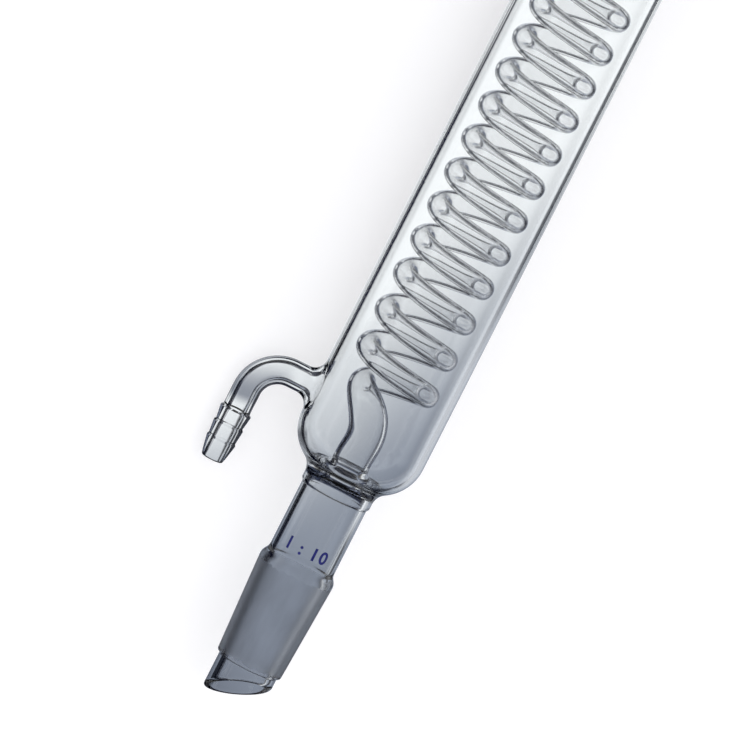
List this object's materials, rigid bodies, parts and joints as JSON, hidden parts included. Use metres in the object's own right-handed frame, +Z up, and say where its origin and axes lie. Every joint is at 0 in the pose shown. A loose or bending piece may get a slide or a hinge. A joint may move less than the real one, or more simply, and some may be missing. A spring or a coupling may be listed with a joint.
{
  "type": "coil condenser",
  "caption": "Laboratory glass condenser: a cooling jacket round a sealed-in glass coil, with hooked hose connections, a ground cone with drip tip and a ground socket.",
  "frame": {"origin": "on the glass axis, in the gauge plane of the ground cone, where its ground surface is widest", "axes": "+X along the glass axis from the cone towards the socket, +Z up from the bench it lies on; the hose connections reach towards +Y and down"},
  "size_m": [0.3734, 0.0593, 0.04],
  "materials": {
    "glass": "clear, fire polished, with both ground joints frosted",
    "enamel": "deep blue enamel fired on, for the plain numbers printed on the lower neck"
  },
  "bodies": {
    "root": {"coil_condenser": "glass"}
  },
  "joints": []
}
